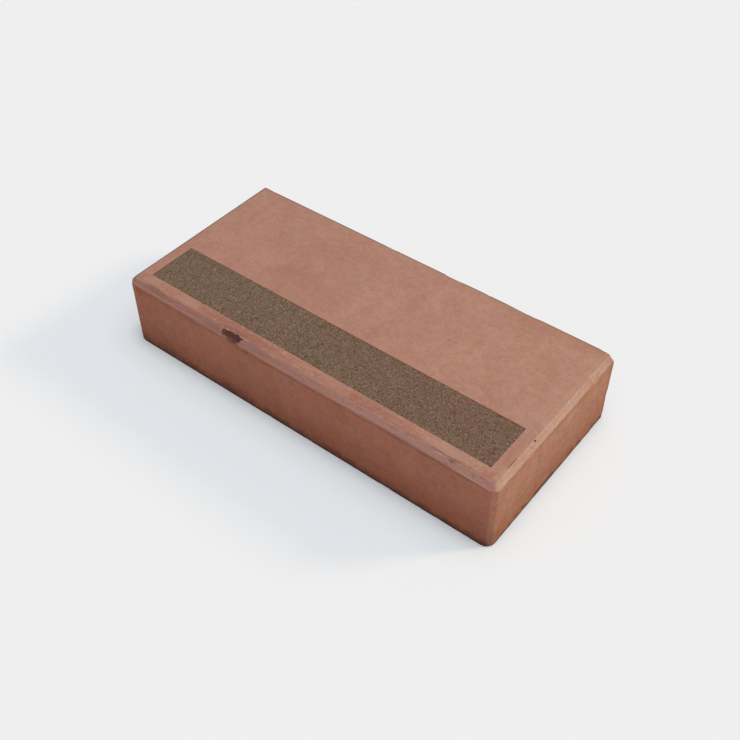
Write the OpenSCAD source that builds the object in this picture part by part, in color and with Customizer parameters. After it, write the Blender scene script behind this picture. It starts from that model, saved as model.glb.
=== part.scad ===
// Concrete block step with a grip strip let into its tread.
// X runs along the riser, Y from the front of the step to its back, Z is up.
// The origin is on the ground, under the middle of the step.

/* [Block] */
// Length of the step, along the riser
step_length = 795; // [395:5:1495]
// Depth of the step, from the riser to the back face
step_depth = 360; // [250:5:500]
// Height of the step, from the ground to the tread
step_height = 150; // [100:1:200]

/* [Arris] */
// Width of the sloping arris, measured in across the tread
arris_run = 10; // [5:0.5:20]
// Height of the sloping arris, measured down the riser and the ends
arris_drop = 11; // [5:0.5:20]
// Leg of the chamfer that runs down each front corner
corner_leg = 9; // [5:0.5:18]
// Radius that eases both edges of an arris and of a corner chamfer
ease_radius = 6; // [1:0.5:8]
// Radius left by the mould on the back and bottom edges
mould_radius = 1; // [0.5:0.25:3]

/* [Grip strip] */
// Width of the strip, from front to back
strip_width = 99; // [40:1:150]
// Thickness of the strip, which lies flush with the tread
strip_thickness = 8; // [4:0.5:20]
// Distance from the riser to the recess
strip_setback = 31.5; // [25:0.5:60]
// Distance from each end of the step to the recess
strip_end_margin = 31.5; // [25:0.5:100]
// Open joint between the strip and each wall of its recess
strip_joint = 0.5; // [0.2:0.1:2]

/* [Hidden] */

// Facets that stand for a full circle where the source is shown as a mesh
arc_facets = 48;
// Length by which a cutter or a section runs past what it cuts
overrun = 20;

half_length = step_length / 2;
half_depth = step_depth / 2;
riser_y = -half_depth;

recess_length = step_length - 2 * strip_end_margin;
recess_y = riser_y + strip_setback;
recess_floor = step_height - strip_thickness;

// Distances in from a front corner, along the line that halves it: to the
// chamfer, to the point where the two arrises meet, and past the whole step
corner_face = corner_leg / sqrt(2);
corner_apex = arris_run * sqrt(2);
corner_reach = step_length + step_depth;

function unit(v) = v / norm(v);

// Distance from a corner to where an arc of radius r meets its sides
function tangent_length(before, at, after, r) =
    let (turn = acos(unit(before - at) * unit(after - at)))
    r / tan(turn / 2);

// Centre of the arc of radius r that eases a corner
function arc_centre(before, at, after, r) =
    let (
        a = unit(before - at),
        b = unit(after - at),
        turn = acos(a * b)
    )
    at + unit(a + b) * r / sin(turn / 2);

// A convex outline with each of its corners eased by its own radius
module eased_outline(corners, radii) {
    last = len(corners) - 1;
    function before(i) = corners[i == 0 ? last : i - 1];
    function after(i) = corners[i == last ? 0 : i + 1];
    polygon([
        for (i = [0 : last])
            let (t = tangent_length(before(i), corners[i], after(i), radii[i]))
            each [
                corners[i] + unit(before(i) - corners[i]) * t,
                corners[i] + unit(after(i) - corners[i]) * t
            ]
    ]);
    for (i = [0 : last])
        translate(arc_centre(before(i), corners[i], after(i), radii[i]))
            circle(r = radii[i], $fn = arc_facets);
}

// Plan of the step: square at the back, chamfered at the two front corners
module plan_outline() {
    eased_outline(
        [
            [-half_length + corner_leg, riser_y],
            [half_length - corner_leg, riser_y],
            [half_length, riser_y + corner_leg],
            [half_length, half_depth],
            [-half_length, half_depth],
            [-half_length, riser_y + corner_leg]
        ],
        [
            ease_radius, ease_radius, ease_radius,
            mould_radius, mould_radius, ease_radius
        ]
    );
}

// Section from front to back: an arris over the riser, a square back edge
module depth_section() {
    eased_outline(
        [
            [riser_y, 0],
            [half_depth, 0],
            [half_depth, step_height],
            [riser_y + arris_run, step_height],
            [riser_y, step_height - arris_drop]
        ],
        [
            mould_radius, mould_radius, mould_radius,
            ease_radius, ease_radius
        ]
    );
}

// Section from end to end: an arris over both ends
module length_section() {
    eased_outline(
        [
            [-half_length, 0],
            [half_length, 0],
            [half_length, step_height - arris_drop],
            [half_length - arris_run, step_height],
            [-half_length + arris_run, step_height],
            [-half_length, step_height - arris_drop]
        ],
        [
            mould_radius, mould_radius, ease_radius,
            ease_radius, ease_radius, ease_radius
        ]
    );
}

// Section through the bisector of a front corner, measured in from the corner:
// a facet joins the tread to the corner chamfer where two arrises meet
module corner_section() {
    eased_outline(
        [
            [corner_face, 0],
            [corner_reach, 0],
            [corner_reach, step_height],
            [corner_apex, step_height],
            [corner_face, step_height - arris_drop]
        ],
        [
            mould_radius, mould_radius, mould_radius,
            ease_radius, ease_radius
        ]
    );
}

// Everything behind the cut front corner at one end, -1 or 1
module behind_corner(end) {
    translate([end * half_length, riser_y, 0])
        rotate([90, 0, 90 + end * 45])
            linear_extrude(2 * corner_reach, center = true)
                corner_section();
}

module step_block() {
    color("#a8725f")
        difference() {
            intersection() {
                linear_extrude(step_height) plan_outline();
                rotate([90, 0, 90])
                    linear_extrude(step_length + 2 * overrun, center = true)
                        depth_section();
                rotate([90, 0, 0])
                    linear_extrude(step_depth + 2 * overrun, center = true)
                        length_section();
                behind_corner(-1);
                behind_corner(1);
            }
            translate([-recess_length / 2, recess_y, recess_floor])
                cube([recess_length, strip_width, strip_thickness + overrun]);
        }
}

module grip_strip() {
    color("#6e5c48")
        translate([
            -recess_length / 2 + strip_joint,
            recess_y + strip_joint,
            recess_floor
        ])
            cube([
                recess_length - 2 * strip_joint,
                strip_width - 2 * strip_joint,
                strip_thickness
            ]);
}

step_block();
grip_strip();
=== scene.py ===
import math

import bmesh
import bpy
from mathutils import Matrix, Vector, geometry, noise


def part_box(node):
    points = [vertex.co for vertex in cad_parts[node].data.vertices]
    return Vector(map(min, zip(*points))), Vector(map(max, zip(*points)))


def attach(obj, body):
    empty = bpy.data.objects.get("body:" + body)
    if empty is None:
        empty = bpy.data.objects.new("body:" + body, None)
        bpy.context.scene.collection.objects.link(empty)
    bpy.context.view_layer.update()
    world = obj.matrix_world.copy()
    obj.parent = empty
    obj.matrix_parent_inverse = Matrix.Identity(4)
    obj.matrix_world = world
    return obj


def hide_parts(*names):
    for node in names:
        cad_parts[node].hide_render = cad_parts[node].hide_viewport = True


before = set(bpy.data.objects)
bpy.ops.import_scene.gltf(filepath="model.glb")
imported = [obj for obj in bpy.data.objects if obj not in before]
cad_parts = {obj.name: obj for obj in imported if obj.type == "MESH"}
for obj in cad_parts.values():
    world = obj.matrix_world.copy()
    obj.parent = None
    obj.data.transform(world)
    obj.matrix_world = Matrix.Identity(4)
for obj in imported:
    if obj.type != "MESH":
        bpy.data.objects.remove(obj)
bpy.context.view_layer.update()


# ---------------------------------------------------------------------------
# Concrete block. One solid casting of through-coloured terracotta concrete,
# from a steel mould with chamfer strips along its arrises and front corners.
# Use has rubbed and crumbled its edges and chipped the front arris.
# ---------------------------------------------------------------------------

MM = 0.001

block_low, block_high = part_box("step_block")
strip_low, strip_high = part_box("grip_strip")
tread_z = block_high.z
riser_y = block_low.y
end_x = block_high.x

ARRIS_RUN = 10 * MM
ARRIS_DROP = 11 * MM
CORNER_LEG = 9 * MM
ARRIS_WIDTH = math.hypot(ARRIS_RUN, ARRIS_DROP)
EASE = 1.9 * MM
FOOT_EASE = 0.9 * MM
MOULD_EASE = 0.6 * MM
STRIP_JOINT = 0.5 * MM

# How far two faces turn, in radians, to be an edge at all and a square one.
EDGE_TURN, SQUARE_TURN = 0.2, 1.2

# Mesh rows: an even net on the flat faces and a finer one beside every edge.
NET_PITCH = 7.2 * MM
BAND = 7.5 * MM
BAND_PITCH = 2.0 * MM
HOLLOW_PITCH = 1.1 * MM

# Damage along the edges: how deep each kind goes and how long it is, then how
# much more of it the right end has, and the front corners near the foot.
CRUMB, CRUMB_LENGTH = 0.25 * MM, 3.1 * MM
NICK, NICK_LENGTH = 0.7 * MM, 15 * MM
SPALL, SPALL_LENGTH = 0.9 * MM, 43 * MM
WAVE, WAVE_LENGTH = 0.12 * MM, 85 * MM
WORN_WIDTH = 3.4 * MM
END_WEAR = 1.7
FOOT_SPALL, FOOT_SPALL_HEIGHT = 1.3 * MM, 15 * MM

# The even rub that every edge has, and how far the lower edge of the front
# arris sags and how wide a band it draws along.
RUB_WIDTH = 4.6 * MM
RUB_TOP, RUB_SIDE, RUB_FOOT = 0.35 * MM, 0.12 * MM, 0.05 * MM
LIP_SAG, LIP_REACH = 0.9 * MM, 6.5 * MM

# Hollows in the arris faces. Each has its place along the arris and down the
# slope, its half sizes there and its depth, all in millimetres, then how dark
# and how rusty it is: the chip's lobes and a nick in the lip at the front, a
# scratch and a pit at the end. An island is a spot of sound concrete in one.
FRONT_HOLLOWS = (
    (-163.0, 7.2, 5.0, 5.4, 0.9, 0.62, 0.9),
    (-151.0, 6.8, 10.5, 5.8, 1.5, 0.88, 0.8),
    (-143.0, 7.2, 8.0, 6.2, 1.3, 0.88, 0.4),
    (-134.0, 6.4, 6.5, 6.8, 1.9, 1.00, 0.1),
    (-127.5, 6.2, 3.6, 4.6, 0.9, 0.72, 0.8),
    (-123.5, 3.0, 4.2, 1.8, 0.6, 0.50, 0.9),
    (-137.0, 12.8, 5.0, 4.0, 0.6, 0.52, 0.8),
    (-146.0, 13.2, 9.0, 4.6, 0.2, 0.32, 0.6),
    (-130.0, 13.4, 4.5, 3.0, 0.3, 0.30, 0.9),
    (-160.0, 13.6, 7.0, 2.6, 0.0, 0.20, 0.6),
    (305.0, 13.6, 4.5, 2.2, 0.9, 0.12, 0.5),
    (311.0, 4.5, 6.0, 1.8, 0.5, 0.25, 0.5),
    (352.0, 8.5, 1.2, 4.0, 0.4, 0.22, 0.5),
    (366.0, 3.6, 4.5, 1.3, 0.4, 0.20, 0.5),
)
END_HOLLOWS = (
    (-122.0, -0.3, 13.5, 1.5, 0.28, 0.28, 0.8),
    (-116.0, 4.2, 13.0, 0.9, 0.20, 0.24, 0.8),
    (-60.5, 3.0, 1.9, 1.6, 1.4, 0.90, 0.3),
)
ISLANDS = ((-163.0, 7.4, 2.0, 1.8), (-137.8, 5.6, 1.3, 1.1))


def near(a, b, tolerance=0.02 * MM):
    return abs(a - b) < tolerance


def smooth(low, high, value):
    t = min(max((value - low) / (high - low), 0), 1)
    return t * t * (3 - 2 * t)


def middle_of(edge):
    return (edge.verts[0].co + edge.verts[1].co) / 2


def edge_angle(edge):
    return edge.calc_face_angle(0)


def rub_depth(point):
    """How far a crease is rubbed back where this point lies on it."""
    if point.z < MM:
        return RUB_FOOT
    if near(point.z, tread_z) and near(point.y, riser_y + ARRIS_RUN):
        return RUB_TOP
    return RUB_FOOT if point.y > block_high.y - MM else RUB_SIDE


def cast_block():
    """The clean casting, and its creases: two ends, the way out, the rub depth."""
    mesh = bmesh.new()
    bmesh.ops.create_cube(mesh, size=1)
    bmesh.ops.scale(mesh, vec=block_high - block_low, verts=mesh.verts)
    bmesh.ops.translate(mesh, vec=(block_low + block_high) / 2, verts=mesh.verts)

    def on_arris(edge):
        middle = middle_of(edge)
        front = near(middle.y, riser_y)
        end = near(abs(middle.x), end_x)
        top = near(middle.z, tread_z)
        return (front and top) or (end and top) or (front and end)

    bmesh.ops.bevel(
        mesh, geom=[edge for edge in mesh.edges if on_arris(edge)],
        offset=ARRIS_RUN, offset_type="OFFSET", segments=1, profile=0.5,
        affect="EDGES", material=-1,
    )
    for vert in mesh.verts:
        if near(vert.co.z, tread_z - ARRIS_RUN):
            vert.co.z = tread_z - ARRIS_DROP
        if near(vert.co.y, riser_y) and near(abs(vert.co.x), end_x - ARRIS_RUN):
            vert.co.x = math.copysign(end_x - CORNER_LEG, vert.co.x)
        if near(abs(vert.co.x), end_x) and near(vert.co.y, riser_y + ARRIS_RUN):
            vert.co.y = riser_y + CORNER_LEG
    mesh.normal_update()
    creases = []
    for edge in mesh.edges:
        if edge_angle(edge) > EDGE_TURN:
            outward = sum((face.normal for face in edge.link_faces), Vector()).normalized()
            a, b = (vert.co.copy() for vert in edge.verts)
            creases.append((a, b, outward, rub_depth(middle_of(edge))))

    def ease(wanted, offset, segments):
        bmesh.ops.bevel(
            mesh, geom=[edge for edge in mesh.edges if wanted(edge)],
            offset=offset, offset_type="OFFSET", segments=segments, profile=0.5,
            affect="EDGES", material=-1, clamp_overlap=True,
        )

    def square(edge):
        return edge_angle(edge) > SQUARE_TURN

    ease(lambda edge: edge_angle(edge) > EDGE_TURN and not square(edge), EASE, 4)
    ease(lambda edge: square(edge) and near(middle_of(edge).z, block_low.z), FOOT_EASE, 4)
    ease(square, MOULD_EASE, 2)
    return mesh, creases


def ring(mesh, axis, place):
    """A ring of edges all round the casting, square to the axis at this place."""
    point, normal = Vector(), Vector()
    point[axis], normal[axis] = place, 1
    bmesh.ops.bisect_plane(
        mesh, geom=mesh.verts[:] + mesh.edges[:] + mesh.faces[:],
        plane_co=point, plane_no=normal, dist=1e-7,
    )


def divide(mesh, axis, low, high):
    """Even steps between two rings."""
    runs = []
    for edge in mesh.edges:
        ends = sorted(vert.co[axis] for vert in edge.verts)
        if near(ends[0], low) and near(ends[1], high):
            runs.append(edge)
    bmesh.ops.subdivide_edges(mesh, edges=runs, cuts=round((high - low) / NET_PITCH) - 1)


def by_an_edge(point):
    """True within the band along any edge of the casting."""
    sides = (
        abs(point.x) > end_x - ARRIS_RUN - BAND,
        point.y < riser_y + ARRIS_RUN + BAND,
        point.y > block_high.y - BAND,
        point.z > tread_z - ARRIS_DROP - BAND,
        point.z < BAND,
    )
    return sum(sides) > 1


def refine(mesh, wanted, pitch):
    """Halves every wanted edge until none is longer than the pitch."""
    while True:
        long_edges = [e for e in mesh.edges if e.calc_length() > pitch and wanted(middle_of(e))]
        if not long_edges:
            return
        bmesh.ops.subdivide_edges(mesh, edges=long_edges, cuts=1, use_grid_fill=True)


def on_slope(point, end):
    """A point's place on an arris: along it, down its slope and out of its face."""
    inward = (end_x - point.x) if end else (point.y - riser_y)
    along = point.y if end else point.x
    run, drop = ARRIS_RUN - inward, tread_z - point.z
    down = (run * ARRIS_RUN + drop * ARRIS_DROP) / ARRIS_WIDTH
    out = (run * ARRIS_DROP - drop * ARRIS_RUN) / ARRIS_WIDTH
    return along, down, out


def hold(spot, along, down):
    """How strongly an oval spot on an arris holds a place: 1 at its middle."""
    a, d, half_a, half_d = spot
    return max(0, 1 - (((along - a) / half_a) ** 2 + ((down - d) / half_d) ** 2) / 1.4)


def hollow_at(point, reach=0):
    """How deep, dark and rusty the hollow here is and its way out, if there is one."""
    for end, hollows in ((False, FRONT_HOLLOWS), (True, END_HOLLOWS)):
        along, down, out = (value / MM for value in on_slope(point, end))
        if abs(out) > 5:
            continue
        if reach:
            if any(abs(along - a) < half_a + reach and abs(down - d) < half_d + reach
                   for a, d, half_a, half_d, *_ in hollows):
                return True
            continue
        holds = [hold(hollow[:4], along, down) for hollow in hollows]
        if not any(holds):
            continue
        unevenness = 0.30 * noise.noise(point / (3.6 * MM)) + 0.24 * noise.noise(point / (1.7 * MM))
        amount = smooth(0.12, 0.55, sum(holds) + unevenness)
        shares = [value ** 2 / sum(value ** 2 for value in holds) for value in holds]
        deep, dark, rusty = (
            sum(share * hollow[column] for share, hollow in zip(shares, hollows)) for column in (4, 5, 6)
        )
        sound = 0 if end else smooth(0.1, 0.6, max(hold(island, along, down) for island in ISLANDS))
        way = Vector((ARRIS_DROP, 0, ARRIS_RUN)) if end else Vector((0, -ARRIS_DROP, ARRIS_RUN))
        depth = deep * MM * amount * (1 - 0.8 * sound)
        return depth, dark * amount * (1 - 0.45 * sound), rusty, way.normalized()
    return None


block_mesh, creases = cast_block()
joint = Vector((STRIP_JOINT, STRIP_JOINT, 0))
recess_low, recess_high = strip_low - joint, strip_high + joint
rings = (
    (-recess_high.x - 2 * NET_PITCH, -recess_high.x - NET_PITCH, recess_low.x, recess_high.x,
     recess_high.x + NET_PITCH, recess_high.x + 2 * NET_PITCH),
    (recess_low.y - 2 * NET_PITCH, recess_low.y - NET_PITCH, recess_low.y, recess_high.y,
     block_high.y - BAND),
    (BAND, tread_z - ARRIS_DROP - BAND),
)
for axis, places in enumerate(rings):
    for place in places:
        ring(block_mesh, axis, place)


def over_recess(point, spare=0.0):
    return (
        recess_low.x - spare < point.x < recess_high.x + spare
        and recess_low.y - spare < point.y < recess_high.y + spare
    )


bed = [
    face for face in block_mesh.faces
    if near(face.calc_center_median().z, tread_z) and over_recess(face.calc_center_median())
]
sunk = bmesh.ops.extrude_face_region(block_mesh, geom=bed)["geom"]
bmesh.ops.delete(block_mesh, geom=bed, context="FACES_ONLY")
bmesh.ops.translate(
    block_mesh, vec=(0, 0, strip_low.z - tread_z),
    verts=[item for item in sunk if isinstance(item, bmesh.types.BMVert)],
)
for axis, places in enumerate(rings):
    for low, high in zip(places, places[1:]):
        if high - low > 1.5 * NET_PITCH:
            divide(block_mesh, axis, low, high)
refine(block_mesh, by_an_edge, BAND_PITCH)
refine(block_mesh, lambda point: hollow_at(point, reach=3), HOLLOW_PITCH)
bmesh.ops.triangulate(block_mesh, faces=[f for f in block_mesh.faces if len(f.verts) > 4])
block_mesh.normal_update()

worn_layer = block_mesh.verts.layers.float.new("worn")
dark_layer = block_mesh.verts.layers.float.new("hollow")
rusty_layer = block_mesh.verts.layers.float.new("rusty")
moves = []
for vert in block_mesh.verts:
    point, move = vert.co, Vector()
    moves.append(move)
    if over_recess(point, MM) and point.z > strip_low.z - MM:
        continue
    from_edge = BAND
    if by_an_edge(point):
        rub = 0
        outward = Vector()
        for a, b, way, depth in creases:
            _, along = geometry.intersect_point_line(point, a, b)
            distance = (point - a.lerp(b, min(max(along, 0), 1))).length
            if distance < RUB_WIDTH:
                here = depth * (1 - distance / RUB_WIDTH) ** 2
                rub += here
                outward += way * here
                from_edge = min(from_edge, distance)
        if rub:
            beside = max(0, 1 - from_edge / WORN_WIDTH)
            grains = noise.noise(point / CRUMB_LENGTH)
            spared = point.z < BAND or point.y > block_high.y - BAND
            crumb = CRUMB * max(0, grains + 0.25) * (0.3 if spared else 1)
            nick = NICK * smooth(0.12, 0.62, noise.noise(point / NICK_LENGTH + Vector((3.7, 0, 0))))
            spall = SPALL * smooth(0.25, 0.6, noise.noise(point / SPALL_LENGTH + Vector((0, 9.1, 0))))
            worn = (crumb + nick * (0.5 + 0.5 * abs(grains)) + spall) * beside
            worn *= END_WEAR if point.x > end_x - ARRIS_RUN - RUB_WIDTH else 1
            if max(point.y - riser_y, end_x - abs(point.x)) < ARRIS_RUN + RUB_WIDTH:
                worn += FOOT_SPALL * smooth(FOOT_SPALL_HEIGHT, 0, point.z) * beside
            move -= outward.normalized() * (min(rub, 1.4 * RUB_TOP) + worn)
            vert[worn_layer] = worn / NICK
    wave = WAVE * (0.5 + 0.5 * noise.noise(point / WAVE_LENGTH))
    move -= vert.normal * wave * smooth(0, BAND, from_edge)
    # The lower edge of the front arris wanders: low left of the middle, high on
    # the right.
    from_lip = abs(point.z - tread_z + ARRIS_DROP) / LIP_REACH
    if from_lip < 1 and point.y < riser_y + ARRIS_RUN:
        sag = smooth(-320 * MM, -260 * MM, point.x) - 2 * smooth(60 * MM, 120 * MM, point.x)
        off_end = smooth(end_x - ARRIS_RUN, end_x - 3 * ARRIS_RUN, point.x)
        move.z -= LIP_SAG * sag * (1 - from_lip) ** 2 * off_end
    hollow = hollow_at(point)
    if hollow:
        deep, dark, rusty, way = hollow
        rough = 1 + 0.6 * noise.noise(point / (4.5 * MM)) + 0.3 * noise.noise(point / (2 * MM))
        move -= way * deep * rough
        vert[dark_layer] = dark
        vert[rusty_layer] = rusty
for vert, move in zip(block_mesh.verts, moves):
    vert.co += move


def new_piece(name, source, row_slot, *nodes):
    """A finished mesh becomes a piece that stands for its CAD node."""
    mesh = bpy.data.meshes.new(name)
    source.to_mesh(mesh)
    mesh.shade_smooth()
    mesh.set_sharp_from_angle(angle=math.radians(50))
    piece = bpy.data.objects.new(name, mesh)
    bpy.context.scene.collection.objects.link(piece)
    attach(piece, "root")
    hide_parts(*nodes)
    return piece


concrete_block = new_piece("concrete_block", block_mesh, "concrete", "step_block")


def add(tree, kind, into, **settings):
    """One shader node, with what goes into its sockets."""
    node = tree.nodes.new("ShaderNode" + kind)
    for name, value in settings.items():
        setattr(node, name, value)
    for socket, value in into.items():
        if isinstance(value, bpy.types.NodeSocket):
            tree.links.new(value, node.inputs[socket])
        else:
            node.inputs[socket].default_value = value
    return node


# Patches: clouds, stains or grains of one size in millimetres. The mask runs
# from 0 to 1 as the noise under it passes from Low to High.
patches = bpy.data.node_groups.new("patches", "ShaderNodeTree")
for label, kind in (
    ("Place", "Vector"), ("Size", "Float"), ("Detail", "Float"), ("Low", "Float"), ("High", "Float"),
):
    patches.interface.new_socket(label, in_out="INPUT", socket_type="NodeSocket" + kind)
patches.interface.new_socket("Mask", in_out="OUTPUT", socket_type="NodeSocketFloat")
given = patches.nodes.new("NodeGroupInput").outputs
frequency = add(patches, "Math", {0: 1 / MM, 1: given["Size"]}, operation="DIVIDE").outputs[0]
field = add(patches, "TexNoise", {
    "Vector": given["Place"], "Scale": frequency, "Detail": given["Detail"], "Roughness": 0.55,
}).outputs[0]
mask = add(patches, "MapRange", {
    "Value": field, "From Min": given["Low"], "From Max": given["High"],
}, interpolation_type="SMOOTHSTEP").outputs[0]
patches.links.new(mask, patches.nodes.new("NodeGroupOutput").inputs["Mask"])


def patch(tree, place, size, low=0.3, high=0.7, detail=2, shift=0):
    """A mask of patches of this size; shift gives the same size a new pattern."""
    if shift:
        place = add(tree, "VectorMath", {0: place, 1: (shift, 2 * shift, 3 * shift)}).outputs[0]
    return add(tree, "Group", {
        "Place": place, "Size": size, "Detail": detail, "Low": low, "High": high,
    }, node_tree=patches).outputs["Mask"]


def span(tree, value, low, high, to_low=0.0, to_high=1.0):
    """A value carried smoothly from one range to another and held at its ends."""
    return add(tree, "MapRange", {
        "Value": value, "From Min": low, "From Max": high, "To Min": to_low, "To Max": to_high,
    }, interpolation_type="SMOOTHSTEP").outputs[0]


def tone(tree, amount, under, over):
    """One colour laid over another."""
    return add(tree, "Mix", {0: amount, 6: under, 7: over}, data_type="RGBA").outputs[2]


def sum_of(tree, a, b, operation="ADD"):
    return add(tree, "Math", {0: a, 1: b}, operation=operation).outputs[0]


def times(tree, *values):
    product = values[0]
    for value in values[1:]:
        product = sum_of(tree, product, value, "MULTIPLY")
    return product


def shade(tree, colour, factor):
    return add(tree, "VectorMath", {0: colour, "Scale": factor}, operation="SCALE").outputs[0]


def stained(tree, colour, stain, *masks):
    """A colour with a stain over it, as strong as the masks make it."""
    return tone(tree, times(tree, *masks), colour, stain)


def varied(tree, colour, *masks):
    """A colour made paler, or darker where the masks come out below zero."""
    return shade(tree, colour, sum_of(tree, 1, times(tree, *masks)))


def absolute(tree, value):
    """A value without its sign."""
    return add(tree, "Math", {0: value}, operation="ABSOLUTE").outputs[0]


def stretched(tree, place, x, y, z):
    """The same place with a pattern drawn out along the axes that are below 1."""
    return add(tree, "VectorMath", {0: place, 1: (x, y, z)}, operation="MULTIPLY").outputs[0]


# Tints: faint patches over a colour, rosier or greener and yellower or bluer
# than the rest but just as bright.
tints = bpy.data.node_groups.new("tints", "ShaderNodeTree")
for label, kind in (("Colour", "Color"), ("Place", "Vector"), ("Amount", "Float")):
    tints.interface.new_socket(label, in_out="INPUT", socket_type="NodeSocket" + kind)
tints.interface.new_socket("Colour", in_out="OUTPUT", socket_type="NodeSocketColor")
given = tints.nodes.new("NodeGroupInput").outputs
tint = (1, 1, 1)
for size, shift, way in ((26, 36, (-0.065, 0.10, 0.05)), (19, 37, (0, 0, 0.20))):
    field = patch(tints, given["Place"], size, 0.32, 0.68, 3, shift=shift)
    amount = times(tints, sum_of(tints, field, 0.5, "SUBTRACT"), given["Amount"])
    tint = add(tints, "VectorMath", {0: amount, 1: way, 2: tint}, operation="MULTIPLY_ADD").outputs[0]
over = add(tints, "VectorMath", {0: given["Colour"], 1: tint}, operation="MULTIPLY").outputs[0]
tints.links.new(over, tints.nodes.new("NodeGroupOutput").inputs["Colour"])


def tinted(tree, colour, place, amount):
    """The colour with faint tints over it."""
    return add(tree, "Group", {
        "Colour": colour, "Place": place, "Amount": amount,
    }, node_tree=tints).outputs["Colour"]


def new_material(name, low, high):
    """A material, its tree, its surface shader and the place from the piece's middle."""
    material = bpy.data.materials.new(name)
    material.use_nodes = True
    tree = material.node_tree
    place = add(tree, "TexCoord", {}).outputs["Object"]
    place = add(tree, "Mapping", {"Vector": place, "Location": -(low + high) / 2}).outputs[0]
    return material, tree, tree.nodes["Principled BSDF"], place


# Spot: one placed mark with a ragged outline, given by its centre and its half
# sizes. Across the face it lies on its half size is large, so that bumps in the
# face don't cut it off.
spots = bpy.data.node_groups.new("spot", "ShaderNodeTree")
for label, kind in (("Place", "Vector"), ("Centre", "Vector"), ("Half", "Vector"), ("Ragged", "Float")):
    spots.interface.new_socket(label, in_out="INPUT", socket_type="NodeSocket" + kind)
spots.interface.new_socket("Mask", in_out="OUTPUT", socket_type="NodeSocketFloat")
given = spots.nodes.new("NodeGroupInput").outputs
offset = given["Place"]
for operation, other in (("SUBTRACT", "Centre"), ("DIVIDE", "Half")):
    offset = add(spots, "VectorMath", {0: offset, 1: given[other]}, operation=operation).outputs[0]
outline = add(spots, "VectorMath", {0: offset}, operation="LENGTH").outputs["Value"]
outline = sum_of(spots, outline, times(spots, given["Ragged"], 1.6))
mask = span(spots, outline, 2.0, 1.3)
spots.links.new(mask, spots.nodes.new("NodeGroupOutput").inputs["Mask"])


def spot(tree, place, ragged, centre, half):
    """A mask of one mark; its centre and half sizes are in millimetres."""
    return add(tree, "Group", {
        "Place": place, "Centre": Vector(centre) * MM, "Half": Vector(half) * MM, "Ragged": ragged,
    }, node_tree=spots).outputs["Mask"]


FRONT_CAST = (0.568, 0.234, 0.145, 1)
END_CAST = (0.575, 0.284, 0.176, 1)
TRODDEN = (0.381, 0.194, 0.139, 1)
TRODDEN_PALE = (0.408, 0.211, 0.148, 1)
KERB_DIRT = (0.334, 0.153, 0.107, 1)
ARRIS_GREY = (0.345, 0.181, 0.142, 1)
ARRIS_LILAC = (0.345, 0.170, 0.158, 1)
ARRIS_OLIVE = (0.340, 0.193, 0.128, 1)
ARRIS_PALE = (0.466, 0.308, 0.232, 1)
CRUMB_PALE = (0.60, 0.44, 0.34, 1)
KERB_PALE = (0.40, 0.235, 0.175, 1)
END_PALE = (0.70, 0.39, 0.25, 1)
RUBBED = (0.50, 0.28, 0.195, 1)
DEEP_RED = (0.19, 0.069, 0.053, 1)
BRICK_RED = (0.36, 0.105, 0.066, 1)
BLED_RED = (0.50, 0.125, 0.072, 1)
BROWN = (0.30, 0.135, 0.075, 1)
RUST = (0.53, 0.170, 0.050, 1)
CHIP_RIM = (0.160, 0.052, 0.036, 1)
CHIP_BROWN = (0.103, 0.031, 0.024, 1)
CHIP_DARK = (0.077, 0.030, 0.038, 1)
RIM_GREY = (0.30, 0.24, 0.20, 1)
LIP_PINK = (0.56, 0.33, 0.26, 1)
DAMP = (0.115, 0.043, 0.032, 1)
SOIL_AND_CONTACT_SHADE = (0.022, 0.011, 0.010, 1)
GROUND_TINT = (0.66, 0.56, 0.505, 1)
END_GROUND_TINT = (0.74, 0.62, 0.54, 1)

concrete, tree, surface, place = new_material("terracotta_concrete", block_low, block_high)
axes = add(tree, "SeparateXYZ", {0: place}).outputs
facing = add(tree, "SeparateXYZ", {0: add(tree, "NewGeometry", {}).outputs["Normal"]}).outputs
worn, hollow, rusty = (
    add(tree, "Attribute", {}, attribute_name=name).outputs["Fac"]
    for name in ("worn", "hollow", "rusty")
)

# Where a point is: down from the tread, up from the ground, in from the riser,
# from the nearer end and from the nearer of both, and which way it faces.
drop = sum_of(tree, (tread_z - block_low.z) / 2, axes["Z"], "SUBTRACT")
up = sum_of(tree, axes["Z"], (tread_z - block_low.z) / 2)
from_riser = sum_of(tree, axes["Y"], (block_high.y - riser_y) / 2)
from_end = sum_of(tree, end_x, absolute(tree, axes["X"]), "SUBTRACT")
from_side = sum_of(tree, from_riser, from_end, "MINIMUM")
at_end = span(tree, sum_of(tree, from_riser, from_end, "SUBTRACT"), -2 * MM, 2 * MM)
to_right = span(tree, axes["X"], -300 * MM, 350 * MM)
on_tread = span(tree, drop, 5 * MM, 1.5 * MM)
level = span(tree, facing["Z"], 0.8, 0.99)
upright = span(tree, facing["Z"], 0.5, 0.2)
off_back = span(tree, facing["Y"], 0.6, 0.2)
sideways = absolute(tree, facing["X"])
endways = span(tree, sideways, 0.3, 0.9)

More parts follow.
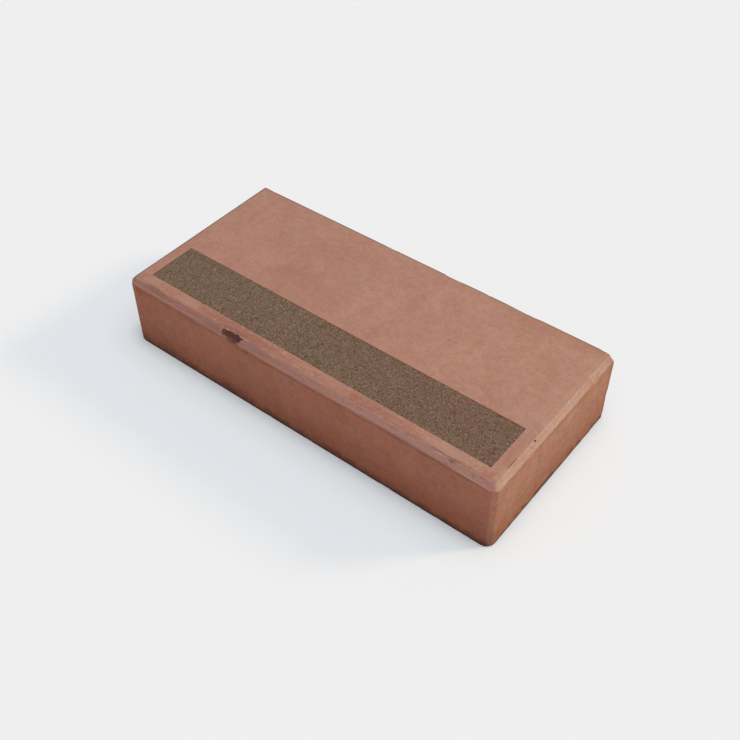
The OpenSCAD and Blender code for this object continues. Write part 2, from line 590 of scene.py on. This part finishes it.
# The body colour: saturated where it was cast, duller where it is walked on,
# stained at every size and crossed by faint bands the screed has left.
trodden = tone(tree, to_right, TRODDEN, TRODDEN_PALE)
colour = tone(tree, endways, FRONT_CAST, END_CAST)
flat_from, flat_to = (span(tree, at_end, 0, 1, *ends) for ends in ((0.80, 0.70), (0.99, 0.86)))
colour = tone(tree, span(tree, facing["Z"], flat_from, flat_to), colour, trodden)
for size, low, high, shift, amount, stain in (
    (55, 0.45, 0.75, 1, 0.10, RUBBED),
    (38, 0.50, 0.80, 2, 0.13, BRICK_RED),
    (20, 0.48, 0.70, 5, 0.11, BROWN),
    (13, 0.52, 0.72, 9, 0.11, BRICK_RED),
    (9, 0.55, 0.75, 11, 0.09, ARRIS_OLIVE),
):
    colour = stained(tree, colour, stain, patch(tree, place, size, low, high, shift=shift), amount)
runs = times(tree, patch(tree, stretched(tree, place, 1, 1, 0.12), 13, 0.3, 0.7, 3), upright)
bands = patch(tree, stretched(tree, place, 1, 0.12, 1), 34, 0.3, 0.7, 2, shift=6)
clouds = times(
    tree,
    span(tree, patch(tree, place, 200, shift=3), 0, 1, 0.975, 1.025),
    span(tree, bands, 0, 1, 0.985, 1.015),
    span(tree, patch(tree, place, 42, detail=4), 0, 1, 0.965, 1.035),
    span(tree, patch(tree, place, 12, detail=4), 0, 1, 0.955, 1.045),
    span(tree, patch(tree, place, 5, detail=3), 0, 1, 0.964, 1.036),
    span(tree, patch(tree, place, 2.6, detail=3), 0, 1, 0.945, 1.055),
    span(tree, runs, 0, 1, 1.0, 0.975),
)
coarse, blotchy = (
    sum_of(tree, patch(tree, place, size, 0.3, 0.7, 3, shift=shift), 0.5, "SUBTRACT")
    for size, shift in ((3.6, 12), (14, 26))
)
end_grain = sum_of(tree, times(tree, coarse, 0.18), times(tree, blotchy, 0.10))
clouds = times(tree, clouds, sum_of(tree, 1, times(tree, end_grain, endways)))

# The clouds change all three colours alike, so the pale ones are less red, and
# faint tints over them show most on the right end.
clouds = add(tree, "VectorMath", {
    0: sum_of(tree, clouds, 1, "SUBTRACT"), 1: (0.80, 1.07, 1.28), 2: (1, 1, 1),
}, operation="MULTIPLY_ADD").outputs[0]
colour = add(tree, "VectorMath", {0: colour, 1: clouds}, operation="MULTIPLY").outputs[0]
tinting = sum_of(tree, span(tree, upright, 0, 1, 0.30, 0.65), span(tree, facing["X"], 0.3, 0.9, 0, 0.50))
colour = tinted(tree, colour, place, tinting)
for low, shift, amount, stain in ((0.65, 13, 0.45, BROWN), (0.67, 29, 0.30, KERB_PALE)):
    specks = patch(tree, place, 5, low, low + 0.06, 1, shift=shift)
    colour = stained(tree, colour, stain, specks, level, amount)

# The kerb, the tread in front of the strip, has shoe dirt drawn out along the
# arris, and blots and scrapes in it.
along = add(tree, "Mix", {
    0: at_end, 4: stretched(tree, place, 0.1, 1, 1), 5: stretched(tree, place, 1, 0.1, 1),
}, data_type="VECTOR").outputs[1]
streaks = patch(tree, along, 5.5, 0.35, 0.68, 4)
kerb = times(tree, span(tree, from_riser, 32 * MM, 27 * MM), on_tread)
colour = stained(tree, colour, KERB_DIRT, kerb, span(tree, streaks, 0, 1, 0.35, 0.95))
for size, shift, amount, stain in (
    (14, 14, 0.26, BRICK_RED), (17, 15, 0.08, RUST), (8, 16, 0.34, RUBBED), (6, 27, 0.27, BROWN),
):
    blots = patch(tree, place, size, 0.50, 0.68, 3, shift=shift)
    colour = stained(tree, colour, stain, kerb, blots, amount)
for shift, amount, stain in ((34, 0.24, BRICK_RED), (35, 0.24, KERB_PALE)):
    drawn = patch(tree, along, 2.6, 0.52, 0.66, 3, shift=shift)
    colour = stained(tree, colour, stain, kerb, drawn, amount)
colour = varied(tree, colour, kerb, coarse, 0.16)
scrape = times(
    tree, span(tree, from_side, 18 * MM, 11.5 * MM), on_tread,
    patch(tree, along, 2.6, 0.50, 0.62, 3, shift=7), patch(tree, place, 48, 0.40, 0.56, 2, shift=8),
)
colour = stained(tree, colour, BRICK_RED, scrape, span(tree, at_end, 0, 1, 0.85, 0.40))

# The last few millimetres of the tread made darker: dirt along the back, and painted shade along the
# left end, which faces away from the lights.
from_back = sum_of(tree, block_high.y - riser_y, from_riser, "SUBTRACT")
from_left_lip = sum_of(tree, sum_of(tree, from_end, -ARRIS_RUN), span(tree, axes["X"], -1 * MM, 1 * MM))
from_rim = sum_of(tree, from_back, from_left_lip, "MINIMUM")
rim_grey = times(tree, span(tree, from_rim, 7 * MM, 3 * MM), on_tread, 0.30)
rim_dirt_and_shade = times(tree, span(tree, from_rim, 4.0 * MM, 0.8 * MM), on_tread, 0.70)

# The arris faces: mottled grey with dirt at the front and the left end, dusty
# and pale at the right end, with crumbs caught along their upper edge. The
# dirt ends at the lower edge, which sags as it does in the mesh.
slope_top = span(tree, at_end, 0, 1, 13.5 * MM, 12.0 * MM)
sunk_left, sunk_right = (
    span(tree, axes["X"], low * MM, high * MM, 0, by * MM)
    for low, high, by in ((-320, -260, -0.7), (60, 120, 1.4))
)
lip_drop = sum_of(tree, drop, sum_of(tree, sunk_left, sunk_right))
slope = times(
    tree, span(tree, from_side, slope_top, 7.6 * MM), span(tree, lip_drop, 12.6 * MM, 10.6 * MM),
)
grime = tone(tree, patch(tree, place, 30, 0.47, 0.58, 4, shift=17), ARRIS_GREY, ARRIS_LILAC)
grime = stained(tree, grime, ARRIS_OLIVE, patch(tree, place, 22, 0.52, 0.62, 4, shift=18), 0.9)
grime = stained(tree, grime, BRICK_RED, patch(tree, place, 8, 0.52, 0.66, 4, shift=19), 0.30)
grime = stained(tree, grime, DEEP_RED, patch(tree, along, 2.2, 0.53, 0.64, 3, shift=33), 0.26)
paler_right = span(tree, to_right, 0.25, 0.75, 0.97, 1.155)
grime = shade(tree, grime, sum_of(tree, paler_right, times(tree, coarse, 0.16)))
dusty = times(tree, at_end, span(tree, axes["X"], -1 * MM, 1 * MM))
dust = stained(tree, ARRIS_PALE, ARRIS_OLIVE, patch(tree, along, 9, 0.45, 0.65, 3, shift=20), 0.30)
dust = stained(tree, dust, BRICK_RED, patch(tree, place, 7, 0.5, 0.68, 3, shift=21), 0.32)
dust = stained(tree, dust, CRUMB_PALE, patch(tree, place, 5, 0.52, 0.66, 3, shift=28), 0.45)
dust = stained(tree, dust, BROWN, patch(tree, along, 2.2, 0.53, 0.64, 3, shift=32), 0.34)
middle = times(tree, span(tree, drop, 1.5 * MM, 4 * MM), span(tree, drop, 7.5 * MM, 5.5 * MM))
crumbs = patch(tree, place, 4, 0.42, 0.6, 3, shift=30)
dust = stained(tree, dust, CRUMB_PALE, span(tree, middle, 1, 0), crumbs, 0.28)
dust = shade(tree, dust, span(tree, middle, 0, 1, 1.025, 0.965))
cover = add(tree, "Mix", {
    0: dusty, 2: span(tree, streaks, 0, 1, 0.80, 0.98), 3: span(tree, streaks, 0, 1, 0.55, 0.95),
}).outputs[0]
colour = stained(tree, colour, tone(tree, dusty, grime, dust), slope, cover)

# Both edges of an arris: rubbed spots at the lower one, a faint dark line and
# pale scrapes at the upper one, and painted shade under the lower one.
low_edge = span(tree, drop, 7.5 * MM, 9.5 * MM)
colour = stained(tree, colour, RUBBED, slope, low_edge, patch(tree, along, 9, 0.36, 0.60, shift=4), 0.45)
inner_lip = times(
    tree, span(tree, from_riser, 9 * MM, 10.5 * MM), span(tree, from_riser, 14 * MM, 11.5 * MM),
    on_tread, span(tree, at_end, 1, 0),
)
colour = varied(tree, colour, inner_lip, -0.11)
crest = times(
    tree, span(tree, from_side, 8.5 * MM, 10.5 * MM), span(tree, from_side, 13.5 * MM, 11.5 * MM),
    on_tread, patch(tree, along, 2.6, 0.50, 0.62, 3, shift=22),
    patch(tree, place, 40, 0.42, 0.58, 2, shift=23),
)
colour = stained(tree, colour, ARRIS_PALE, crest, 0.45)
margin = times(
    tree, span(tree, from_end, 22 * MM, 16 * MM), span(tree, from_end, 11.5 * MM, 14 * MM),
    dusty, on_tread,
)
colour = stained(tree, colour, CRUMB_PALE, margin, 0.11)
# Painted shade under the lower edge of an arris, fading downwards and broken into patches along it.
fade_from, fade_to = (
    span(tree, to_right, 0.2, 0.8, left * MM, right * MM) for left, right in ((25, 19), (18, 14))
)
shade_under_lip = times(
    tree, span(tree, lip_drop, 10.2 * MM, 11.8 * MM), span(tree, drop, fade_from, fade_to), off_back,
    span(tree, patch(tree, along, 5, 0.35, 0.65, 4, shift=24), 0, 1, 0.25, 1),
)
colour = varied(tree, colour, shade_under_lip, span(tree, endways, 0, 1, -0.25, -0.21))
colour = tone(tree, span(tree, worn, 0.1, 1.0, 0, 0.45), colour, RUBBED)
# The rim: dirt at the back, painted shade at the left end.
colour = tone(tree, rim_grey, colour, RIM_GREY)
colour = tone(tree, rim_dirt_and_shade, colour, DAMP)

# Grit swept off the strip dulls the tread behind it, and the front corner
# chamfers, which face half way between riser and end, are made a little paler.
behind = times(
    tree, span(tree, from_riser, 70 * MM, 130 * MM), span(tree, from_riser, 190 * MM, 145 * MM), level,
)
corner = times(
    tree, span(tree, sideways, 0.45, 0.65), span(tree, sideways, 0.95, 0.80),
    span(tree, drop, 10 * MM, 13 * MM),
)
change = sum_of(tree, times(tree, behind, -0.035), times(tree, corner, 0.06))
colour = varied(tree, colour, change)

# Single marks, each with its centre and half sizes in millimetres from the
# middle of the block and its strength. First the broad ones: dirty and pale
# lengths of the kerb and the arris, painted light and painted shade along the
# lower lip of the front arris, then the tread, the riser and the end.
ragged = add(tree, "TexNoise", {"Vector": place, "Scale": 1 / (4.5 * MM), "Detail": 3}).outputs[0]
FAR = 40
for centre, half, amount, stain in (
    ((-140, -159, 75), (105, 11, FAR), 0.36, DEEP_RED),
    ((145, -159, 75), (60, 11, FAR), 0.26, DEEP_RED),
    ((300, -159, 75), (60, 11, FAR), 0.42, KERB_PALE),
    ((-262, -159, 75), (26, 11, FAR), 0.48, KERB_PALE),
    ((-350, -159, 75), (20, 11, FAR), 0.42, KERB_PALE),
    ((60, -159, 75), (22, 11, FAR), 0.22, KERB_PALE),
    ((-320, -176, 72), (45, 5, 6), 0.30, DEEP_RED),
    ((-335, -171, 74), (48, 2.4, 3), 0.32, DEEP_RED),
    # Along the lower lip of the front arris: painted light on the left and in the middle, painted shade
    # under it on the right.
    ((-95, -179.5, 64), (165, 3, 2.6), 0.30, LIP_PINK),
    ((235, -179.5, 65.5), (130, 3, 2.0), 0.24, DEEP_RED),
    ((238, -180, 62.6), (140, 3, 1.8), 0.22, DEEP_RED),
    ((352, -180, 63.6), (24, 3, 2.2), 0.30, DEEP_RED),
    ((-170, -150, 75), (110, 1.4, FAR), 0.32, BROWN),
    ((85, -150, 75), (52, 1.4, FAR), 0.28, BROWN),
    ((25, -170, 75), (38, 1.6, 3), 0.32, LIP_PINK),
    ((268, -165.5, 75), (46, 3, FAR), 0.22, KERB_PALE),
    ((145, -167, 75), (46, 2.6, 3), 0.16, DEEP_RED),
    ((374, -157, 75), (5, 4, FAR), 0.40, BRICK_RED),
    ((380, -127, 75), (7, 9, FAR), 0.32, BRICK_RED),
    ((-65, -176, 72), (30, 5, 6), 0.25, BROWN),
    ((-185, -176, 70), (25, 6, 7), 0.22, DEEP_RED),
    ((-135, -5, 75), (100, 46, FAR), 0.22, BROWN),
    ((290, 172, 75), (170, 24, FAR), 0.26, BROWN),
    ((-90, -180, 25), (85, FAR, 60), 0.16, BROWN),
    ((-140, -180, -60), (75, FAR, 15), 0.22, DEEP_RED),
    ((397, -52, 40), (FAR, 9, 24), 0.22, BROWN),
    ((397, 40, 46), (FAR, 26, 16), 0.50, END_PALE),
    ((397, 50, -35), (FAR, 32, 12), 0.36, END_PALE),
    ((397, -70, -35), (FAR, 14, 10), 0.25, END_PALE),
    ((397, -20, -55), (FAR, 18, 9), 0.35, END_PALE),
    ((397, -165, -52), (FAR, 16, 14), 0.30, BROWN),
    ((397, -157, 10), (FAR, 9, 60), 0.16, BROWN),
    ((-116, -180, 62), (9, 3, 2.6), 0.45, LIP_PINK),
    ((397, -135, -55), (FAR, 14, 9), 0.18, BROWN),
    ((397, 60, -55), (FAR, 16, 8), 0.22, BROWN),
    ((397, 174, 20), (FAR, 9, 90), 0.24, BROWN),
    # Rust bled under the lip, scrapes and stains above it.
    ((-371, -180, 52), (8, FAR, 13), 0.75, BLED_RED),
    ((-111, -180, 58.5), (10, FAR, 5), 0.48, BLED_RED),
    ((-107, -180, 58.5), (8, FAR, 3.5), 0.30, DEEP_RED),
    ((-79, -180, 49), (7, FAR, 8), 0.30, RUST),
    ((-4, -180, 49), (6, FAR, 7), 0.30, RUST),
    ((-138, -180, 42), (3.5, FAR, 26), 0.34, RUST),
    ((-130, -180, 42), (3.0, FAR, 22), 0.26, RUST),
    ((313, -173, 72), (9, 4, 4), 0.40, BROWN),
    ((300, -169.6, 75), (44, 1.4, 3), 0.40, DAMP),
    ((228, -169.8, 75), (18, 1.2, 3), 0.35, DEEP_RED),
    ((-238, -170.6, 74), (26, 1.6, 3), 0.45, BRICK_RED),
    ((-236, -174.5, 70), (20, 1.2, 2), 0.45, BRICK_RED),
    ((110, -158, 75), (10, 8, FAR), 0.45, BRICK_RED),
    ((-127, -164, 75), (12, 5, FAR), 0.40, BRICK_RED),
    ((-211, -159.5, 75), (6, 1.9, FAR), 0.60, BRICK_RED),
    ((-200, -162, 75), (8, 1.7, FAR), 0.60, BRICK_RED),
    ((-158, -169.4, 75), (7, 1.8, FAR), 0.40, ARRIS_PALE),
    ((-147, -167.8, 75), (4, 2.0, FAR), 0.40, ARRIS_PALE),
    ((-118, -169.4, 75), (14, 1.2, FAR), 0.40, LIP_PINK),
    ((-114, -176, 70), (13, 7, 8), 0.50, ARRIS_GREY),
    ((-142, -166, 75), (32, 5, FAR), 0.36, DEEP_RED),
    ((288, -172.5, 73), (14, 1.1, 2), 0.35, CRUMB_PALE),
    # A pale line along the lower lip near the right end: a painted highlight.
    ((348, -179.3, 64.8), (46, 1.8, 1.6), 0.55, LIP_PINK),
    ((378, -100, 75), (10, 66, FAR), 0.45, KERB_DIRT),
    ((-378, -100, 75), (10, 66, FAR), 0.35, KERB_DIRT),
    ((55, 80, 75), (12, 42, FAR), 0.16, BROWN),
    ((157, 42, 75), (4, 4, FAR), 0.55, BROWN),
    ((43, -35, 75), (5, 4, FAR), 0.35, BROWN),
    # Rust and dirt splashed up the end, low down.
    ((397, -160, -55), (FAR, 4, 5), 0.50, RUST),
    ((397, -142, -36), (FAR, 9, 12), 0.25, RUST),
    ((397, -67, -50), (FAR, 4, 6), 0.45, RUST),
    ((397, -46, -47), (FAR, 3.5, 7), 0.45, RUST),
    ((397, 38, -44), (FAR, 5, 7), 0.50, RUST),
    ((397, 90, -50), (FAR, 4, 5), 0.50, RUST),
    ((397, 142, -45), (FAR, 3, 4), 0.45, RUST),
    ((397, 166, 56), (FAR, 3, 7), 0.35, RUST),
    ((397, 155, 22), (FAR, 6, 12), 0.20, BLED_RED),
    ((397, 72, -62), (FAR, 8, 5), 0.35, DAMP),
    ((397, 117, -40), (FAR, 3, 7), 0.25, DAMP),
    ((397, 145, -60), (FAR, 10, 5), 0.30, DAMP),
    ((397, -80, -62), (FAR, 6, 4), 0.35, DAMP),
    ((397, -107, -60), (FAR, 7, 4), 0.30, DAMP),
):
    colour = stained(tree, colour, stain, spot(tree, place, ragged, centre, half), amount)

# Damp and dirt along the ground, with rusty spots at its ragged upper edge and
# a near-black line where the block meets the ground: soil with painted contact shadow.
ground_tint = tone(tree, endways, GROUND_TINT, END_GROUND_TINT)
colour = add(tree, "Mix", {
    0: span(tree, up, 110 * MM, -10 * MM), 6: colour, 7: ground_tint,
}, data_type="RGBA", blend_type="MULTIPLY").outputs[2]
ragged_up = sum_of(tree, up, span(tree, patch(tree, place, 17, 0.25, 0.75, 4), 0, 1, -6 * MM, 6 * MM))
bleed = patch(tree, place, 40, 0.48, 0.66, 3, shift=25)
colour = stained(tree, colour, RUST, span(tree, ragged_up, 62 * MM, 12 * MM), bleed, 0.30)
speckle = patch(tree, place, 9, 0.50, 0.64, 3, shift=5)
colour = stained(tree, colour, RUST, span(tree, ragged_up, 42 * MM, 12 * MM), speckle, 0.28)
damp_height = span(tree, endways, 0, 1, 24 * MM, 15 * MM)
colour = tone(tree, span(tree, ragged_up, damp_height, 1.5 * MM, 0, 0.72), colour, DAMP)
# Soil with painted contact shadow in the last few millimetres above the ground.
colour = tone(tree, span(tree, up, 6.0 * MM, 1.5 * MM, 0, 0.90), colour, SOIL_AND_CONTACT_SHADE)

# The hollows: dark, dirty floors inside a brick-red rim.
colour = tone(tree, span(tree, hollow, 0.02, 0.5), colour, CHIP_RIM)
blotches = span(tree, patch(tree, place, 3.0, 0.35, 0.6, 4), 0, 1, 0.60, 1)
rustiness = span(tree, sum_of(tree, rusty, times(tree, coarse, 0.9)), 0.0, 0.6)
chip_floor = tone(tree, rustiness, CHIP_DARK, CHIP_BROWN)
colour = stained(tree, colour, chip_floor, span(tree, hollow, 0.45, 0.85), blotches)

# The colour seen by light that has already left another surface is deeper, so
# the block throws less of its red on the floor.
bounced = add(tree, "LightPath", {}).outputs["Is Diffuse Ray"]
colour = shade(tree, colour, span(tree, bounced, 0, 1, 1, 0.62))
tree.links.new(colour, surface.inputs["Base Color"])
tree.links.new(span(tree, patch(tree, place, 9), 0, 1, 0.78, 0.9), surface.inputs["Roughness"])
surface.inputs["Specular IOR Level"].default_value = 0.3
relief = sum_of(
    tree,
    times(tree, patch(tree, place, 1.4, 0.2, 0.8, 3), 0.14 * MM),
    times(tree, patch(tree, place, 5, 0.2, 0.8, 4), 0.16 * MM),
)
bump = add(tree, "Bump", {"Height": relief, "Distance": 1, "Strength": 1})
tree.links.new(bump.outputs[0], surface.inputs["Normal"])
concrete_block.data.materials.append(concrete)


# ---------------------------------------------------------------------------
# Grip strip. A bar of dark quartz grit in resin, trowelled into the recess
# behind the front arris and left level with the tread, so its grains stand
# out and a thin joint shows all round it.
# ---------------------------------------------------------------------------

GRIT_PITCH = 0.98 * MM
GRAIN = 2.3 * MM
GRAIN_PROUD = 0.5 * MM
RESIN_LEVEL = strip_high.z - 0.35 * MM
RESIN_RIPPLE = 0.08 * MM
GRIT_EDGE = 1.2 * MM
GRIT_EDGE_DROP = 0.3 * MM


def grain_height(x, y):
    """The grit's surface above the resin, one rounded grain to a cell."""
    at = Vector((x, y, 0)) / GRAIN
    distances, centres = noise.voronoi(at)
    size = 0.55 + 0.45 * noise.cell(centres[0] * 7.31)
    dome = max(0, 1 - (distances[0] / (0.35 + 0.4 * size)) ** 2)
    return dome * size * GRAIN_PROUD + RESIN_RIPPLE * noise.noise(at * 2.1)


strip_size, strip_middle = strip_high - strip_low, (strip_low + strip_high) / 2
grit_mesh = bmesh.new()
bmesh.ops.create_grid(
    grit_mesh, x_segments=round(strip_size.x / GRIT_PITCH),
    y_segments=round(strip_size.y / GRIT_PITCH), size=0.5,
)
bmesh.ops.scale(grit_mesh, vec=(strip_size.x, strip_size.y, 1), verts=grit_mesh.verts)
bmesh.ops.translate(grit_mesh, vec=(strip_middle.x, strip_middle.y, 0), verts=grit_mesh.verts)
for vert in grit_mesh.verts:
    x, y = vert.co.x, vert.co.y
    from_rim = min(x - strip_low.x, strip_high.x - x, y - strip_low.y, strip_high.y - y)
    rim_drop = GRIT_EDGE_DROP * (1 - smooth(0, GRIT_EDGE, from_rim))
    vert.co.z = RESIN_LEVEL + grain_height(x, y) - rim_drop
rim = [edge for edge in grit_mesh.edges if edge.is_boundary]
for item in bmesh.ops.extrude_edge_only(grit_mesh, edges=rim)["geom"]:
    if isinstance(item, bmesh.types.BMVert):
        item.co.z = strip_low.z
bmesh.ops.contextual_create(grit_mesh, geom=[edge for edge in grit_mesh.edges if edge.is_boundary])
bmesh.ops.recalc_face_normals(grit_mesh, faces=grit_mesh.faces)
grip_strip_grit = new_piece("grip_strip_grit", grit_mesh, "grit", "grip_strip")

RESIN = (0.157, 0.0875, 0.0545, 1)
RESIN_OLIVE = (0.152, 0.1005, 0.0605, 1)
GRAIN_LIGHT = (0.340, 0.245, 0.195, 1)
GRAIN_DARK = (0.070, 0.027, 0.011, 1)

grit, tree, surface, place = new_material("grit_in_resin", strip_low, strip_high)
cells = add(tree, "TexVoronoi", {"Vector": place, "Scale": 1 / (1.65 * MM)})
pick = add(tree, "SeparateColor", {0: cells.outputs["Color"]}).outputs
rightward = add(tree, "SeparateXYZ", {0: place}).outputs["X"]
cloud = times(tree, patch(tree, place, 90, 0.3, 0.7, 2), 0.6)
olive = span(tree, sum_of(tree, span(tree, rightward, 350 * MM, -350 * MM), cloud), 0.1, 1.4)
colour = tone(tree, olive, RESIN, RESIN_OLIVE)
colour = stained(tree, colour, GRAIN_LIGHT, span(tree, pick[0], 0.66, 0.95), 0.47)
colour = stained(tree, colour, GRAIN_DARK, span(tree, pick[1], 0.62, 0.9), 0.81)
colour = shade(tree, colour, times(
    tree,
    span(tree, patch(tree, place, 24, detail=3), 0, 1, 0.98, 1.02),
    span(tree, patch(tree, place, 5, detail=3), 0, 1, 0.965, 1.035),
))
colour = tinted(tree, colour, place, 0.6)
tree.links.new(colour, surface.inputs["Base Color"])
tree.links.new(span(tree, pick[2], 0, 1, 0.6, 0.85), surface.inputs["Roughness"])
surface.inputs["Specular IOR Level"].default_value = 0.3
relief = times(tree, patch(tree, place, 0.9, 0.2, 0.8, 2), 0.1 * MM)
bump = add(tree, "Bump", {"Height": relief, "Distance": 1, "Strength": 1})
tree.links.new(bump.outputs[0], surface.inputs["Normal"])
grip_strip_grit.data.materials.append(grit)


# ---------------------------------------------------------------------------
# Studio. A pale matt floor that throws little light back at the block, two
# broad soft lights almost overhead and a smaller warm one low beyond the right
# end, in a room that is dim but looks pale.
# ---------------------------------------------------------------------------

FLOOR_SIZE = 30
FLOOR_WHITE = (0.80, 0.80, 0.80, 1)
FLOOR_BOUNCE = (0.50, 0.50, 0.50, 1)
ROOM = (0.238, 0.151, 0.156, 1)
BACKDROP = (0.863, 0.863, 0.863, 1)

floor_mesh = bmesh.new()
bmesh.ops.create_grid(floor_mesh, x_segments=1, y_segments=1, size=FLOOR_SIZE)
mesh = bpy.data.meshes.new("floor")
floor_mesh.to_mesh(mesh)
floor = bpy.data.objects.new("floor", mesh)
bpy.context.scene.collection.objects.link(floor)
sweep, tree, surface, place = new_material("studio_floor", Vector(), Vector())
path = add(tree, "LightPath", {}).outputs
seen = sum_of(tree, path["Is Camera Ray"], path["Is Glossy Ray"], "MAXIMUM")
tree.links.new(tone(tree, seen, FLOOR_BOUNCE, FLOOR_WHITE), surface.inputs["Base Color"])
surface.inputs["Roughness"].default_value = 1
surface.inputs["Specular IOR Level"].default_value = 0
floor.data.materials.append(sweep)

world = bpy.data.worlds.new("studio")
bpy.context.scene.world = world
world.use_nodes = True
tree = world.node_tree
seen = add(tree, "LightPath", {}).outputs["Is Camera Ray"]
tree.links.new(tone(tree, seen, ROOM, BACKDROP), tree.nodes["Background"].inputs["Color"])


def soft_sun(name, azimuth, elevation, strength, colour, spread):
    """A far light; its azimuth runs from the right end towards the back."""
    light = bpy.data.lights.new(name, "SUN")
    light.energy, light.color, light.angle = strength, colour, math.radians(spread)
    sun = bpy.data.objects.new(name, light)
    a, e = math.radians(azimuth), math.radians(elevation)
    towards = Vector((math.cos(a) * math.cos(e), math.sin(a) * math.cos(e), math.sin(e)))
    sun.rotation_euler = towards.to_track_quat("Z", "Y").to_euler()
    bpy.context.scene.collection.objects.link(sun)


soft_sun("overhead_light", -18, 84, 1.535, (0.747, 0.938, 1.0), 25)
soft_sun("broad_light", -5, 79, 1.187, (0.935, 0.989, 1.0), 60)
soft_sun("low_warm_light", 47, 27, 0.969, (1, 0.779, 0.514), 12)

CAMERA_DISTANCE = 1901.3 * MM
CAMERA_AIM = Vector((2.8, 20.5, 0)) * MM
CAMERA_ROUND, CAMERA_UP = math.radians(38.05), math.radians(45.02)

camera_data = bpy.data.cameras.new("camera")
camera_data.lens, camera_data.sensor_width = 50, 36
camera = bpy.data.objects.new("camera", camera_data)
camera.rotation_euler = (math.pi / 2 - CAMERA_UP, 0, CAMERA_ROUND)
camera.location = CAMERA_AIM + camera.rotation_euler.to_matrix() @ Vector((0, 0, CAMERA_DISTANCE))
bpy.context.scene.collection.objects.link(camera)
bpy.context.scene.camera = camera
bpy.context.scene.view_settings.view_transform = "Standard"
